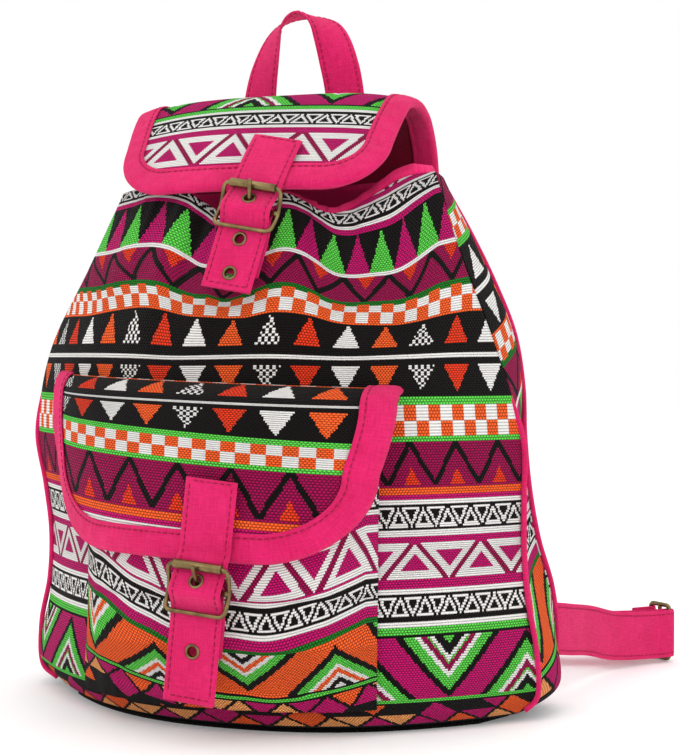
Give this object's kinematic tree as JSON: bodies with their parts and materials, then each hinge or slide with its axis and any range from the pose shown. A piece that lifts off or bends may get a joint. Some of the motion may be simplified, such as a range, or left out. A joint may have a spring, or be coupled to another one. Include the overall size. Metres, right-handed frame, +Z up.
{
  "type": "mini backpack",
  "caption": "Slumped cloth rucksack with a buckled flap over a drawn mouth, a front pocket, a grab handle and two shoulder straps.",
  "frame": {"origin": "middle of the flat base, on the surface that the bag stands on", "axes": "+Z up, -Y towards the front with the pocket, +X towards the viewer's right when the front is seen"},
  "size_m": [0.3882, 0.3498, 0.3948],
  "materials": {
    "jacquard": "ribbed jacquard weave in geometric bands of black, white, magenta, green and orange",
    "pink_canvas": "plain-woven cotton canvas, stitched",
    "lining_cloth": "thin plain cotton",
    "antique_brass": "darkened brass, worn bright on the edges"
  },
  "bodies": {
    "bag": {"front_panel": "jacquard", "back_panel": "jacquard", "side_gusset_right": "jacquard", "side_gusset_left": "jacquard", "base_panel": "jacquard", "lining": "lining_cloth", "mouth_hem": "pink_canvas", "front_piping_right": "pink_canvas", "back_piping_right": "pink_canvas", "front_piping_left": "pink_canvas", "back_piping_left": "pink_canvas", "top_flap": "jacquard", "top_flap_lining": "lining_cloth", "top_flap_binding": "pink_canvas", "pocket_body": "jacquard", "pocket_flap": "jacquard", "pocket_flap_lining": "lining_cloth", "pocket_flap_binding": "pink_canvas", "closing_strap": "pink_canvas", "closing_eyelet_1": "antique_brass", "closing_eyelet_2": "antique_brass", "closing_eyelet_3": "antique_brass", "top_buckle_chape": "pink_canvas", "top_buckle_frame": "antique_brass", "pocket_strap": "pink_canvas", "pocket_eyelet_1": "antique_brass", "pocket_eyelet_2": "antique_brass", "pocket_buckle_chape": "pink_canvas", "pocket_buckle_frame": "antique_brass", "strap_patch": "pink_canvas", "grab_handle": "pink_canvas", "shoulder_strap_right": "pink_canvas", "lower_strap_right": "pink_canvas", "slider_right": "antique_brass", "shoulder_strap_left": "pink_canvas", "lower_strap_left": "pink_canvas", "slider_left": "antique_brass"},
    "top_roller": {"top_buckle_roller": "antique_brass"},
    "top_prong": {"top_buckle_prong": "antique_brass"},
    "pocket_roller": {"pocket_buckle_roller": "antique_brass"},
    "pocket_prong": {"pocket_buckle_prong": "antique_brass"}
  },
  "joints": [
    {"name": "top_roller_spin", "type": "hinge", "parent": "bag", "child": "top_roller", "pos_m": [0.01612, -0.06734, 0.28321], "axis": [0.984, 0, -0.178], "continuous": true},
    {"name": "top_prong_swing", "type": "hinge", "parent": "bag", "child": "top_prong", "pos_m": [0.01387, -0.06711, 0.27076], "axis": [0.984, 0, -0.178], "range_deg": [0, 8]},
    {"name": "pocket_roller_spin", "type": "hinge", "parent": "bag", "child": "pocket_roller", "pos_m": [0.00969, -0.12297, 0.09094], "axis": [0.995, 0, -0.0995], "continuous": true},
    {"name": "pocket_prong_swing", "type": "hinge", "parent": "bag", "child": "pocket_prong", "pos_m": [0.0085, -0.11897, 0.079], "axis": [0.995, 0, -0.0995], "range_deg": [0, 8]}
  ]
}
